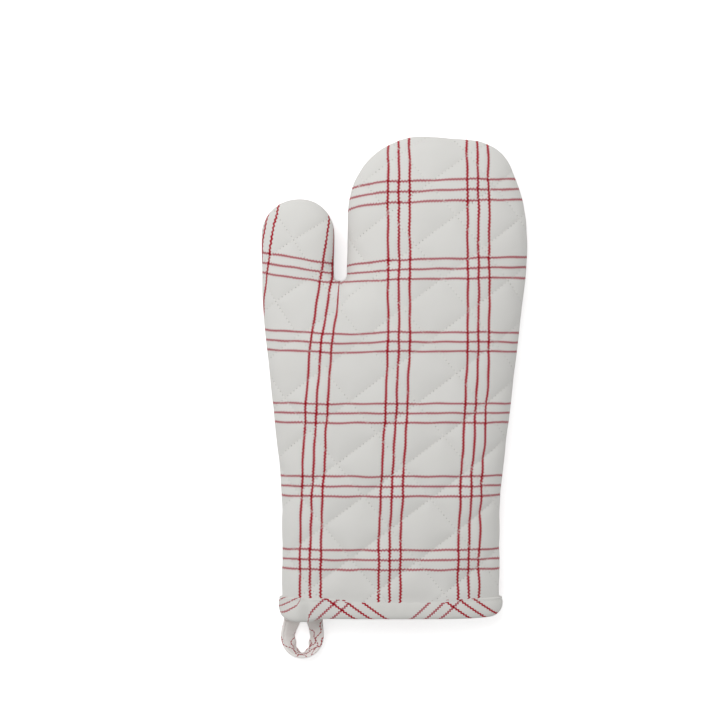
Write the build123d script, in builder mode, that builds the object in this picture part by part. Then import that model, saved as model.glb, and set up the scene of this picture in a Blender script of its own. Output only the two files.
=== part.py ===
"""Oven mitt: two quilted halves sewn round the hand, bound at the cuff, with a hanging loop.

The mitt lies on its back with the thumb to the left: +X across the hand, +Y from cuff to
fingertips, +Z up through the thickness. All sizes are millimetres.
"""

import os
from math import cos, hypot, radians, sin

from build123d import *

# Sewn edge of the two halves
cuff_edge_y = -147.0
cuff_left_x = -75.1
cuff_right_x = 68.1
wrist_left = (-74.7, -62.0)
wrist_right = (69.1, -66.0)
thumb_root_left = (-87.7, 60.0)
thumb_left_x = -89.1
thumb_right_x = -39.1
thumb_tip_y = 131.5
crotch_left = (-40.7, 76.8)
crotch_right = (-31.9, 76.8)
finger_left_x = -29.7
fingertip_y = 173.2
fingertip_right_x = 65.6
little_finger_top = (88.5, 127.0)
little_finger_root = (88.7, 98.0)

# Rounding of the sewn edge at its corners
side_bend_radius = 300.0
thumb_left_radius = 24.0
thumb_right_radius = 23.0
crotch_radius = 3.8
forefinger_radius = 50.0
fingertip_radius = 26.0
little_finger_radius = 60.0
hand_edge_radius = 180.0

# Thickness, with the top crowned over the palm and both rims drawn in
thickness = 38.0
crown_radius = 1500.0
crown_centre = (0.0, 20.0)
top_rim_radius = 14.0
back_rim_radius = 10.0
seam_height = 14.0

# Depths of the layers below the outer surface
outer_depth = 2.2
wadding_depth = 6.8
lining_depth = 7.5

# Quilting: two sets of rows that cross in diamonds
quilt_crossing = (-12.7, 79.8)
rising_angle = 37.0
rising_spacing = 27.6
rising_rows = range(-7, 3)
falling_angle = -50.5
falling_spacing = 32.7
falling_rows = range(-5, 4)
row_length = 500.0
row_end_margin = 3.0
channel_width = 3.0
channel_depth = 1.6
thread_width = 0.7
thread_height = 0.6

# Binding folded over the cuff edge
binding_reach = 11.5
binding_edge_thickness = 1.4
binding_proud = 0.8
binding_bed_depth = 1.2
binding_inner_depth = 8.7
binding_stitch_margin = 2.0
binding_stitch_width = 0.7
binding_stitch_depth = 0.5

# Overlocked seam allowance inside the hand space
allowance_width = 5.5
allowance_half_height = 1.0
overlock_cover = 0.8
overlock_cuff_gap = 4.0

# Hanging loop, a strap that lies flat at its legs and turns on edge at the bight
strap_width = 10.0
strap_thickness = 2.6
loop_centre = (-61.3, -158.5)
loop_half_width = 9.6
loop_drop = 12.1
bight_tilt = 75.0
bight_step = 15
loop_floor_gap = 0.3
loop_root_gap = 0.8
loop_stitch_inset = 1.2
loop_stitch_width = 0.6
loop_stitch_height = 0.3
bartack_size = (7.0, 0.3, 1.2)
bartack_height = 5.0

# Worked out from the sizes above
cut_margin = 25.0
cut_y = cuff_edge_y - cut_margin
binding_top_y = cuff_edge_y + binding_reach
binding_end_y = cuff_edge_y - binding_edge_thickness
loop_root_y = binding_end_y - loop_root_gap - strap_thickness / 2
loop_root_z = loop_floor_gap + strap_thickness / 2
seam_plane = Plane.XY.offset(seam_height)

outline_corners = (
    (cuff_left_x, cut_y, 0),
    (*wrist_left, side_bend_radius),
    (*thumb_root_left, side_bend_radius),
    (thumb_left_x, thumb_tip_y, thumb_left_radius),
    (thumb_right_x, thumb_tip_y, thumb_right_radius),
    (*crotch_left, crotch_radius),
    (*crotch_right, crotch_radius),
    (finger_left_x, fingertip_y, forefinger_radius),
    (fingertip_right_x, fingertip_y, fingertip_radius),
    (*little_finger_top, little_finger_radius),
    (*little_finger_root, hand_edge_radius),
    (*wrist_right, side_bend_radius),
    (cuff_right_x, cut_y, 0),
)


def sewn_outline(depth):
    """Face inside the sewn edge, drawn in by depth and running on past the cuff edge."""
    with BuildSketch() as outline:
        with BuildLine():
            Polyline(*[(x, y) for x, y, _ in outline_corners], close=True)
        make_face()
        for x, y, radius in outline_corners:
            if radius:
                fillet(outline.vertices().sort_by_distance((x, y))[0], radius)
        if depth:
            offset(amount=-depth, kind=Kind.INTERSECTION)
    return outline.sketch


def padded_form(depth):
    """Padded mitt with every face drawn in by depth: a flat back, a domed front, round rims."""
    with BuildPart() as form:
        with BuildSketch(Plane.XY.offset(depth)):
            add(sewn_outline(depth))
        extrude(amount=2 * thickness)
        with Locations((*crown_centre, thickness - crown_radius)):
            Sphere(crown_radius - depth, mode=Mode.INTERSECT)
        fillet(form.faces().sort_by(Axis.Z)[-1].edges(), top_rim_radius - depth)
        fillet(form.faces().sort_by(Axis.Z)[0].edges(), back_rim_radius - depth)
    return form.part


def quilt_rows(width):
    """Upright plates along both sets of quilting rows, stopping short of the sewn edge and binding."""
    with BuildPart() as plates:
        with BuildSketch():
            for angle, spacing, numbers in (
                (rising_angle, rising_spacing, rising_rows),
                (falling_angle, falling_spacing, falling_rows),
            ):
                for number in numbers:
                    x = quilt_crossing[0] - number * spacing * sin(radians(angle))
                    y = quilt_crossing[1] + number * spacing * cos(radians(angle))
                    with Locations(Location((x, y, 0), (0, 0, angle))):
                        Rectangle(row_length, width)
            add(sewn_outline(row_end_margin), mode=Mode.INTERSECT)
            with Locations((0, binding_top_y + row_end_margin)):
                Rectangle(row_length, row_length, align=(Align.CENTER, Align.MIN), mode=Mode.INTERSECT)
        extrude(amount=thickness)
    return plates.part


def slab(low_y, high_y, low_z=-thickness):
    """Block across the whole mitt between two cuts square to its length."""
    with BuildPart() as block:
        with Locations((0, low_y, low_z)):
            Box(
                row_length,
                high_y - low_y,
                3 * thickness,
                align=(Align.CENTER, Align.MIN, Align.MIN),
            )
    return block.part


outer_form = padded_form(0)
binding_bed_form = padded_form(binding_bed_depth)
wadding_form = padded_form(outer_depth)
lining_form = padded_form(wadding_depth)
hand_form = padded_form(lining_depth)
channel_form = padded_form(channel_depth)
past_cuff = slab(cut_y - cut_margin, cuff_edge_y)

# Quilted outer fabric of both halves, puffed between the rows and pressed thin in the binding
with BuildPart() as bound_rim:
    add(slab(cut_y - cut_margin, binding_top_y))
    add(binding_bed_form, mode=Mode.SUBTRACT)

with BuildPart() as outer_layer:
    add(outer_form)
    add(quilt_rows(channel_width), mode=Mode.SUBTRACT)
    add(channel_form)
    add(bound_rim.part, mode=Mode.SUBTRACT)
    add(wadding_form, mode=Mode.SUBTRACT)
    add(past_cuff, mode=Mode.SUBTRACT)

with BuildPart() as front_outer_panel:
    add(outer_layer.part)
    split(bisect_by=seam_plane, keep=Keep.TOP)

with BuildPart() as back_outer_panel:
    add(outer_layer.part)
    split(bisect_by=seam_plane, keep=Keep.BOTTOM)

# Wadding that fills both halves between the outer fabric and the lining
with BuildPart() as wadding_layer:
    add(wadding_form)
    add(lining_form, mode=Mode.SUBTRACT)
    add(past_cuff, mode=Mode.SUBTRACT)

with BuildPart() as front_wadding:
    add(wadding_layer.part)
    split(bisect_by=seam_plane, keep=Keep.TOP)

with BuildPart() as back_wadding:
    add(wadding_layer.part)
    split(bisect_by=seam_plane, keep=Keep.BOTTOM)

# Lining of both halves, each with its seam allowance standing into the hand space
with BuildPart() as allowance:
    with BuildSketch(Plane.XY.offset(seam_height - allowance_half_height)):
        add(sewn_outline(lining_depth))
        add(sewn_outline(lining_depth + allowance_width), mode=Mode.SUBTRACT)
    extrude(amount=2 * allowance_half_height)
    add(slab(cut_y - cut_margin, binding_top_y + overlock_cuff_gap), mode=Mode.SUBTRACT)

with BuildPart() as lining_layer:
    add(lining_form)
    add(hand_form, mode=Mode.SUBTRACT)
    add(past_cuff, mode=Mode.SUBTRACT)
    add(allowance.part)

with BuildPart() as front_lining:
    add(lining_layer.part)
    split(bisect_by=seam_plane, keep=Keep.TOP)

with BuildPart() as back_lining:
    add(lining_layer.part)
    split(bisect_by=seam_plane, keep=Keep.BOTTOM)

# Overlock thread wrapped round the raw edges of both allowances
with BuildPart() as seam_overlock:
    with BuildSketch(Plane.XY.offset(seam_height - allowance_half_height - overlock_cover)):
        add(sewn_outline(lining_depth + overlock_cover))
        add(sewn_outline(lining_depth + allowance_width + overlock_cover), mode=Mode.SUBTRACT)
    extrude(amount=2 * (allowance_half_height + overlock_cover))
    add(slab(cut_y - cut_margin, binding_top_y + overlock_cuff_gap), mode=Mode.SUBTRACT)
    add(allowance.part, mode=Mode.SUBTRACT)

# Quilting thread lying along the floor of the channels
with BuildPart() as quilting_thread:
    add(padded_form(channel_depth - thread_height))
    add(channel_form, mode=Mode.SUBTRACT)
    add(quilt_rows(thread_width), mode=Mode.INTERSECT)

with BuildPart() as front_quilting_thread:
    add(quilting_thread.part)
    split(bisect_by=seam_plane, keep=Keep.TOP)

with BuildPart() as back_quilting_thread:
    add(quilting_thread.part)
    split(bisect_by=seam_plane, keep=Keep.BOTTOM)

# Cuff binding: one strip folded over the edge, proud at the sides and flush underneath
binding_outer_form = padded_form(-binding_proud)
binding_inner_form = padded_form(binding_inner_depth)
stitch_low_y = binding_top_y - binding_stitch_margin - binding_stitch_width

with BuildPart() as stitch_core:
    add(padded_form(binding_stitch_depth - binding_proud))
    add(slab(cut_y, binding_top_y, binding_stitch_depth), mode=Mode.INTERSECT)
    add(padded_form(binding_inner_depth - binding_stitch_depth), mode=Mode.SUBTRACT)

with BuildPart() as binding_stitch:
    add(binding_outer_form)
    add(binding_inner_form, mode=Mode.SUBTRACT)
    add(stitch_core.part, mode=Mode.SUBTRACT)
    add(slab(stitch_low_y, stitch_low_y + binding_stitch_width, 0), mode=Mode.INTERSECT)

with BuildPart() as cuff_sandwich:
    add(binding_bed_form)
    add(hand_form, mode=Mode.SUBTRACT)
    add(past_cuff, mode=Mode.SUBTRACT)

with BuildPart() as cuff_binding:
    add(binding_outer_form)
    add(slab(binding_end_y, binding_top_y, 0), mode=Mode.INTERSECT)
    add(binding_inner_form, mode=Mode.SUBTRACT)
    add(cuff_sandwich.part, mode=Mode.SUBTRACT)
    add(binding_stitch.part, mode=Mode.SUBTRACT)


def strap_section(x, y, tangent, outward, tilt):
    """Plane across the strap: its width leans up from the outward side by the tilt."""
    tilt = radians(tilt)
    half_height = (strap_width * sin(tilt) + strap_thickness * cos(tilt)) / 2
    return Plane(
        origin=(x, y, loop_floor_gap + half_height),
        x_dir=(outward[0] * cos(tilt), outward[1] * cos(tilt), sin(tilt)),
        z_dir=(*tangent, 0),
    )


def loop_sections():
    """Section planes down the left leg, round the bight and up the right leg of the loop."""
    x, y = loop_centre
    sections = [strap_section(x - loop_half_width, loop_root_y, (0, -1), (-1, 0), 0)]
    for turn in range(180, 361, bight_step):
        angle = radians(turn)
        run = (-loop_half_width * sin(angle), loop_drop * cos(angle))
        length = hypot(*run)
        tangent = (run[0] / length, run[1] / length)
        sections.append(
            strap_section(
                x + loop_half_width * cos(angle),
                y + loop_drop * sin(angle),
                tangent,
                (tangent[1], -tangent[0]),
                bight_tilt * sin(angle) ** 2,
            )
        )
    sections.append(strap_section(x + loop_half_width, loop_root_y, (0, 1), (1, 0), 0))
    return sections


# Hanging loop: a folded strap whose round ends turn at the cuff edge
with BuildPart() as hanging_loop:
    for section in loop_sections():
        with BuildSketch(section):
            Rectangle(strap_width, strap_thickness)
    loft(ruled=True)
    for side in (-1, 1):
        with Locations((loop_centre[0] + side * loop_half_width, loop_root_y, loop_root_z)):
            Cylinder(strap_thickness / 2, strap_width, rotation=(0, 90, 0))

# Row of stitches that holds the folded strap shut along its outer edge
with BuildPart() as loop_edge_stitch:
    for section in loop_sections():
        across = strap_width / 2 - loop_stitch_inset
        below = -(strap_thickness + loop_stitch_height) / 2
        with BuildSketch(section):
            with Locations((across, below)):
                Rectangle(loop_stitch_width, loop_stitch_height)
    loft(ruled=True)

# Bar tacks that fasten the strap ends at the cuff edge
with BuildPart() as loop_bartack:
    for side in (-1, 1):
        with Locations((loop_centre[0] + side * loop_half_width, binding_end_y, bartack_height)):
            Box(*bartack_size, align=(Align.CENTER, Align.MAX, Align.CENTER))

pieces = {
    "front_outer_panel": front_outer_panel,
    "back_outer_panel": back_outer_panel,
    "front_wadding": front_wadding,
    "back_wadding": back_wadding,
    "front_lining": front_lining,
    "back_lining": back_lining,
    "seam_overlock": seam_overlock,
    "front_quilting_thread": front_quilting_thread,
    "back_quilting_thread": back_quilting_thread,
    "cuff_binding": cuff_binding,
    "binding_stitch": binding_stitch,
    "hanging_loop": hanging_loop,
    "loop_edge_stitch": loop_edge_stitch,
    "loop_bartack": loop_bartack,
}

os.makedirs("parts", exist_ok=True)
for name, piece in pieces.items():
    piece.part.label = name
    export_step(piece.part, f"parts/{name}.step")
    print(name, len(piece.part.solids()), round(piece.part.volume), piece.part.bounding_box())
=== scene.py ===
from functools import partial
from math import ceil, pi, radians, sin, tan

import bmesh
import bpy
import numpy as np
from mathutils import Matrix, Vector
from mathutils.bvhtree import BVHTree
from mathutils.geometry import delaunay_2d_cdt


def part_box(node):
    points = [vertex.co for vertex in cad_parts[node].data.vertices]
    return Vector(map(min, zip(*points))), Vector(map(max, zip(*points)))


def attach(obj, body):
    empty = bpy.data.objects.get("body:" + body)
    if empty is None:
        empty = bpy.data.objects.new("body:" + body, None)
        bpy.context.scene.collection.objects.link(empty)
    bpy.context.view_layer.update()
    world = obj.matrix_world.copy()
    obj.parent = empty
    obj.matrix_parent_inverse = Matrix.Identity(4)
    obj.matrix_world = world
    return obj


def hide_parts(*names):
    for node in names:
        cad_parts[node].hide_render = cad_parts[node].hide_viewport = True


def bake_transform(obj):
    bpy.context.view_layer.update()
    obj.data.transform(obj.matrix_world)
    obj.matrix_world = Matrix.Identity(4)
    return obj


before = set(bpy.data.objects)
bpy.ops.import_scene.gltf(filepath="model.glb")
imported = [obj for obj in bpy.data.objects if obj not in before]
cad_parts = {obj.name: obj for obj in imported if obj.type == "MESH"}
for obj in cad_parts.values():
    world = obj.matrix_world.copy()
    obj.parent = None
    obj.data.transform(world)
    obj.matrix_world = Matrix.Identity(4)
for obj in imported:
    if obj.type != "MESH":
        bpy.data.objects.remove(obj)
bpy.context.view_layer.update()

# Front outer panel
# The face of the mitt: plain-woven off-white cotton with a red windowpane check, stitched to its wadding
# in diamonds, cut to the outline and sewn to the back panel round its edge, then turned right side out.
mm = 0.001
panel_low, panel_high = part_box("front_outer_panel")
seam_height = panel_low.z
crown_height = panel_high.z - seam_height

# Sewn outline, clockwise from the thumb side of the cuff: x, y and arc radius of each corner. The cuff edge
# is measured a little further in than the end of the solid
cuff_trim = 2.6 * mm
cuff_y = panel_low.y + cuff_trim
outline_corners = np.array(
    [
        (-75.1, cuff_y / mm, 0),
        (-74.7, -62.0, 300),
        (-87.7, 60.0, 300),
        (-89.1, 131.5, 24),
        (-39.1, 131.5, 23),
        (-40.7, 76.8, 3.8),
        (-31.9, 76.8, 3.8),
        (-30.4, 177.2, 50),
        (71.6, 168.6, 30),
        (86.3, 126.0, 90),
        (88.2, 95.0, 180),
        (69.1, -66.0, 300),
        (69.2, cuff_y / mm, 0),
    ]
) * mm
cloth_step, turn_step = 2.3 * mm, radians(9)


def unit(vectors):
    """Vectors scaled to length 1."""
    return vectors / np.maximum(np.linalg.norm(vectors, axis=-1, keepdims=True), 1e-12)


def divided(steps):
    """Column of even shares above 0 up to 1, at least as many as the steps asked for."""
    count = max(1, ceil(steps - 1e-6))
    return np.arange(1, count + 1)[:, None] / count


def straight(start, end, spacing):
    """Points that divide a straight run evenly, up to its end but without its start."""
    run = end - start
    return start + run * divided(np.linalg.norm(run) / spacing)


def rounded_path(corners, spacing):
    """Points along straight runs joined by arcs. Each corner is x, y and radius: its arc leaves the runs
    at radius / tan(half the angle between them), and runs and arcs are divided evenly."""
    points = [corners[:1, :2]]
    for before, corner, after in zip(corners, corners[1:], corners[2:]):
        back, ahead = unit((before - corner)[:2]), unit((after - corner)[:2])
        half = np.arccos(back @ ahead) / 2
        radius, turn = corner[2], pi - 2 * half
        start = corner[:2] + back * radius / tan(half)
        centre = corner[:2] + unit(back + ahead) * radius / sin(half)
        points.append(straight(points[-1][-1], start, spacing))
        angle = turn * divided(max(radius * turn / spacing, turn / turn_step))
        points.append(centre + (start - centre) * np.cos(angle) - back * radius * np.sin(angle))
    points.append(straight(points[-1][-1], corners[-1, :2], spacing))
    return np.concatenate(points)


def inward_normals(path):
    """Unit vectors to the right of the path, level at its two ends on the cuff edge."""
    along = np.gradient(path, axis=0)
    across = np.stack((along[:, 1], -along[:, 0]), axis=1)
    across[[0, -1], 1] = 0
    return unit(across)


edge_path = rounded_path(outline_corners, cloth_step)
edge_inward = inward_normals(edge_path)
edge_count = len(edge_path)

# Lie of the cloth: the lower part is drawn over to the left, the thumb is turned clockwise about its root,
# and the change from thumb to fingers narrows to a step at the crotch. The weft is shifted near the cuff and
# near the fingertips, each time by a size that is reached from a start over a length
lower_shift, lower_shift_top, lower_shift_end = 6.2 * mm, 54 * mm, -115 * mm
cloth_thumb_turn, quilt_thumb_turn = radians(10), radians(5.7)
thumb_root, crotch = np.array((-59, 33)) * mm, np.array((-36, 76)) * mm
climb_ramp, swing_middle, swing_ramp = 12 * mm, 50 * mm, 22 * mm
change_start, change_length = 40 * mm, 34 * mm
change_middles, change_widths = (-26 * mm, -36 * mm), (44 * mm, 5 * mm)
thumb_slack, thumb_slack_start = 0.26, 98 * mm
finger_droop, finger_droop_reach, droop_start, droop_length = 2.3 * mm, 31 * mm, 60 * mm, 30 * mm
finger_tilt, finger_tilt_middle = 0.029, 30 * mm
weft_wave, weft_wave_length, weft_wave_start = 2.2 * mm, 270 * mm, 15 * mm
weft_shifts = ((2.8 * mm, -60 * mm, -70 * mm), (1.3 * mm, 100 * mm, 40 * mm))
wobble, wobble_lengths, wobble_slopes = 0.13 * mm, (53 * mm, 31 * mm, 19 * mm), (0.4, -0.7, 1.1)


def eased(share):
    """Share from 0 to 1 that starts and ends level."""
    share = np.clip(share, 0, 1)
    return share * share * (3 - 2 * share)


def cloth_shift(plan, thumb_turn):
    """How far the cloth at a point of the mitt lies from there in the straight length. The thumb's cloth
    moves left by the turn times a softly starting height, and up by the turn times the distance across."""
    x, y = plan.T
    near_crotch = eased((y - change_start) / change_length)
    middle = np.interp(near_crotch, (0, 1), change_middles)
    width = np.interp(near_crotch, (0, 1), change_widths)
    on_thumb = eased(0.5 + (middle - x) / width)
    climb = climb_ramp * np.logaddexp(0, (y - thumb_root[1]) / climb_ramp)
    swing = 1 / (1 + np.exp((swing_middle - y) / swing_ramp))
    left = tan(thumb_turn) * climb * on_thumb
    up = tan(thumb_turn) * (x - thumb_root[0]) * swing * on_thumb
    return np.stack((-left, up), axis=1)


def woven_place(plan):
    """Place in the straight check cloth of points of the mitt: shifted with the thumb, drawn over to the
    left in the lower part, tilted on the fingers with a droop at the forefinger's edge, slack on the thumb's
    tip, and wavy along its length with a shift at both ends."""
    x, y = plan.T
    woven = plan + cloth_shift(plan, cloth_thumb_turn)
    woven[:, 0] += lower_shift * eased((lower_shift_top - y) / (lower_shift_top - lower_shift_end))
    droop = finger_droop * (np.minimum(x, 0) / finger_droop_reach) ** 2
    droop += finger_tilt * (finger_tilt_middle - x)
    droop *= eased((y - droop_start) / droop_length)
    slack = thumb_slack * np.maximum(y - thumb_slack_start, 0)
    woven[:, 1] += np.where(x > crotch[0], droop, -slack)
    woven[:, 1] += weft_wave * np.sin(2 * pi * (y - weft_wave_start) / weft_wave_length)
    for shift, start, length in weft_shifts:
        woven[:, 1] -= shift * eased((y - start) / length)
    for length, slope in zip(wobble_lengths, wobble_slopes):
        phase = 2 * pi / length
        woven[:, 0] += wobble * np.sin(phase * (y + slope * x))
        woven[:, 1] += wobble * np.sin(phase * (x - slope * y) + slope)
    return woven


# Quilting: straight rows that rise to the right and rows that fall, numbered from a crossing below the
# forefinger
quilt_crossing = np.array((-12.7, 79.8)) * mm
row_angles, row_spacings = np.radians((37, -50.5)), np.array((27.6, 32.7)) * mm
first_row, row_end = -10, 7
row_normals = np.column_stack((-np.sin(row_angles), np.cos(row_angles))) / row_spacings[:, None]


def quilt_place(cloth):
    """Row numbers of points of the unrolled cloth: whole numbers lie on a rising row and on a falling row."""
    return (cloth + cloth_shift(cloth, quilt_thumb_turn) - quilt_crossing) @ row_normals.T


# Rim: heights above the seam grow as the square root of the distance from it, so the edge is round and
# takes up cloth
level_length = 20 * mm
profile_count, profile_reach, take_end = 400, 4 * level_length, 1.6 * level_length
rim_take, crotch_reach = 0.7, 16 * mm
points_at_once, shift_rounds, rim_rounds = 2000, 25, 8


def run_along(path):
    """Distance along a path at each of its points."""
    return np.append(0, np.cumsum(np.linalg.norm(np.diff(path, axis=0), axis=1)))


def nearest_edge(plan, path):
    """Distance from the path, and unit vector towards its nearest point, for each point of the mitt."""
    gap, nearest = np.empty(len(plan)), np.empty(len(plan), int)
    for part in np.array_split(np.arange(len(plan)), 1 + len(plan) // points_at_once):
        distance = np.linalg.norm(plan[part, None] - path[None], axis=2)
        nearest[part] = distance.argmin(axis=1)
        gap[part] = distance.min(axis=1)
    return gap, (path[nearest] - plan) / np.maximum(gap, 1e-9)[:, None]


def inside_path(plan, path):
    """Whether points lie inside the closed path: a ray to the right crosses it an odd number of times."""
    crossings = np.zeros(len(plan), int)
    for (x0, y0), (x1, y1) in zip(path, np.roll(path, -1, axis=0)):
        level = (y0 > plan[:, 1]) != (y1 > plan[:, 1])
        if level.any():
            cut = x0 + (plan[level, 1] - y0) * (x1 - x0) / (y1 - y0)
            crossings[level] += cut > plan[level, 0]
    return crossings % 2 == 1


profile_gap = profile_reach * np.linspace(0, 1, profile_count) ** 2
profile_height = crown_height * np.sqrt(1 - np.exp(-profile_gap / level_length))
profile_run = run_along(np.stack((profile_gap, profile_height), axis=1))
profile_extra = (profile_run[-1] - profile_run) - (profile_gap[-1] - profile_gap)
profile_extra *= eased((take_end - profile_gap) / level_length)


def unrolled(plan, gap, way):
    """Points of the mitt laid flat: moved towards the edge by what the round rim takes up of the cloth. Where
    the edge runs aslant, the weave shears and takes up the rest, so each part counts by its own share, and
    the clipped cloth of the crotch takes up none."""
    off_crotch = 1 - np.exp(-(((plan - crotch) ** 2).sum(axis=1) / crotch_reach**2))
    extra = rim_take * off_crotch * np.interp(gap, profile_gap, profile_extra)
    return plan + way * np.abs(way) * extra[:, None]


def quilt_plan(rows):
    """Points of the mitt at given row numbers, found by taking off the thumb's shift, then the rim's, and
    whether each lies on the cloth."""
    straight = rows @ np.linalg.inv(row_normals).T + quilt_crossing
    plan = straight
    for _ in range(shift_rounds):
        plan = straight - cloth_shift(plan, quilt_thumb_turn)
    inside = inside_path(plan, edge_path)
    flat = plan[inside]
    found = flat
    for _ in range(rim_rounds):
        found = flat + found - unrolled(found, *nearest_edge(found, edge_path))
    plan[inside] = found
    return plan, inside


# Net of a half: strips along the sewn edge at these distances from it, then a field of triangles
rim_rings = np.array((0, 0.12, 0.5, 1.1, 2.0, 3.2, 5.0)) * mm
strip_count = edge_count * len(rim_rings)
field_margin = 0.6 * cloth_step
inside_only, net_tolerance = 1, 1e-5


def grid_corners(rows, columns):
    """Row and column of the four corners of each quad in a grid of rows by columns quads."""
    row, column = np.meshgrid(np.arange(rows), np.arange(columns), indexing="ij")
    corner_row = np.stack((row, row, row + 1, row + 1), axis=-1)
    corner_column = np.stack((column, column + 1, column + 1, column), axis=-1)
    return corner_row.reshape(-1, 4), corner_column.reshape(-1, 4)


def half_net():
    """Points, strip quads and triangles of one half laid flat. The field's points lie on the quilting rows
    and on even divisions between them."""
    rings = edge_path[None] + edge_inward[None] * rim_rings[:, None, None]
    inner = rings[-1]
    border = np.concatenate((inner, straight(inner[-1], inner[0], cloth_step)[:-1]))
    splits = [ceil(spacing / cloth_step) for spacing in row_spacings]
    steps = [np.arange(first_row * count, row_end * count) / count for count in splits]
    lattice, on_cloth = quilt_plan(np.stack(np.meshgrid(*steps), axis=-1).reshape(-1, 2))
    lattice = lattice[on_cloth & inside_path(lattice, border)]
    gap, _ = nearest_edge(lattice, border)
    field = np.concatenate((border, lattice[gap > field_margin]))
    outline = [list(range(len(border)))]
    made = delaunay_2d_cdt([Vector(p) for p in field / mm], [], outline, inside_only, net_tolerance)
    made_faces, made_from = made[2], made[3]
    source = np.array([found[0] for found in made_from])
    triangles = source[np.array(made_faces)] + strip_count - edge_count
    ring, place = grid_corners(len(rim_rings) - 1, edge_count - 1)
    quads = (ring * edge_count + place)[:, [0, 3, 2, 1]]
    return np.concatenate((rings[:-1].reshape(-1, 2), field)), quads, triangles


plan, strip_quads, field_triangles = half_net()
all_triangles = np.concatenate((strip_quads[:, [0, 1, 2]], strip_quads[:, [0, 2, 3]], field_triangles))
edge_gap, to_edge = nearest_edge(plan, edge_path)
edge_gap[:strip_count] = np.repeat(rim_rings, edge_count)
to_edge[:strip_count] = np.tile(-edge_inward, (len(rim_rings), 1))
cloth = unrolled(plan, edge_gap, to_edge)
rows = quilt_place(cloth)
row_share = np.abs(rows - np.round(rows))
row_gap = (row_share * row_spacings).min(axis=1)

# Form of a half: the cloth rises from a groove at the seam over a round rim to a low dome
crown_radius, crown_centre = 1500 * mm, np.array((0, 20 * mm))
film_rounds = 400
groove_depth, groove_height, groove_reach = 3.2 * mm, 1.8 * mm, 2.5 * mm
rim_swell, rim_swell_reach = 0.8 * mm, 6 * mm

# Cuff edge: where the binding begins and ends, and how the side seams draw the two ends up
binding_lift = 1.3 * mm
bound_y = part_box("cuff_binding")[1].y + cuff_trim + binding_lift
binding_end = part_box("cuff_binding")[0].y + cuff_trim
binding_sides = np.array((-75.6, 69.8)) * mm
corner_rise, corner_reach = np.array((4.0, 5.0)) * mm, np.array((6.0, 6.5)) * mm
cuff_sag, cuff_sag_reach, lift_limit = 1.4 * mm, 32 * mm, 1.2


def pressed_film(points, triangles, held_count):
    """Heights of a film held at its first points and pressed evenly, levelling off at 1 further in.

    Solves height - level_length ** 2 * laplacian(height) = 1 on the triangles with conjugate gradients;
    each side's weight is half the cotangent of the angle across from it."""
    corners = points[triangles]
    sides = corners[:, 1:] - corners[:, :1]
    doubled = np.abs(sides[:, 0, 0] * sides[:, 1, 1] - sides[:, 0, 1] * sides[:, 1, 0])
    mass = np.bincount(triangles.ravel(), np.repeat(doubled / 6, 3), len(points))
    ends, others, weights = [], [], []
    for a, b, c in ((0, 1, 2), (1, 2, 0), (2, 0, 1)):
        one, two = corners[:, a] - corners[:, c], corners[:, b] - corners[:, c]
        weight = (one * two).sum(axis=1) / doubled / 2 * level_length**2
        ends += [triangles[:, a], triangles[:, b]]
        others += [triangles[:, b], triangles[:, a]]
        weights += [weight, weight]
    ends, others, weights = (np.concatenate(parts) for parts in (ends, others, weights))
    diagonal = mass + np.bincount(ends, weights, len(points))
    free = np.ones(len(points))
    free[:held_count] = 0
    height = np.zeros(len(points))
    rest = free * mass
    search = rest / diagonal
    size = rest @ search
    for _ in range(film_rounds):
        change = free * (diagonal * search - np.bincount(ends, weights * search[others], len(points)))
        share = size / (search @ change)
        height += share * search
        rest = rest - share * change
        new_size = rest @ (rest / diagonal)
        search = rest / diagonal + search * new_size / size
        size = new_size
    return np.maximum(height, 0)


def crowned(plan):
    """Share of the full height left by a dome of the crown's radius under the top of the mitt."""
    fall = ((plan - crown_centre) ** 2).sum(axis=1) / (2 * crown_radius)
    return (crown_height - fall) / crown_height


def surface_normals(points, triangles):
    """Unit normals of the points: the sum of the normals of the triangles around each."""
    corners = points[triangles]
    face = np.cross(corners[:, 1] - corners[:, 0], corners[:, 2] - corners[:, 0])
    totals = [np.bincount(triangles.ravel(), np.repeat(part, 3), len(points)) for part in face.T]
    return unit(np.stack(totals, axis=1))


def cuff_lift(x, y):
    """Rise of the cuff edge at its two ends, where the side seams draw it up: a round corner,
    rise * (1 - sqrt(1 - n * n)) with n from 0 to 1 over the reach, and on the right a wide sag."""
    end_gap = np.stack((x - binding_sides[0], binding_sides[1] - x), axis=-1)
    near = np.clip(1 - end_gap / corner_reach, 0, 1)
    rise = (corner_rise * (1 - np.sqrt(1 - near**2))).sum(axis=-1)
    rise += cuff_sag * np.clip(1 - end_gap[..., 1] / cuff_sag_reach, 0, 1) ** 2
    return rise * np.clip((bound_y - y) / (bound_y - binding_end), 0, lift_limit)


def rounded_half(height, side):
    """Points of a half: its plan, with heights above or below the seam and the edge drawn into a groove."""
    inset = groove_depth * np.exp(-((height / groove_height) ** 2)) * (edge_gap < groove_reach)
    inset -= rim_swell * np.exp(-edge_gap / rim_swell_reach)
    x, y = (plan - to_edge * inset[:, None]).T
    return np.column_stack((x, y + cuff_lift(x, y), seam_height + side * height))


front_height = crown_height * np.sqrt(pressed_film(plan, all_triangles, edge_count)) * crowned(plan)
front_form = rounded_half(front_height, 1)
front_normals = surface_normals(front_form, all_triangles)

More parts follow.
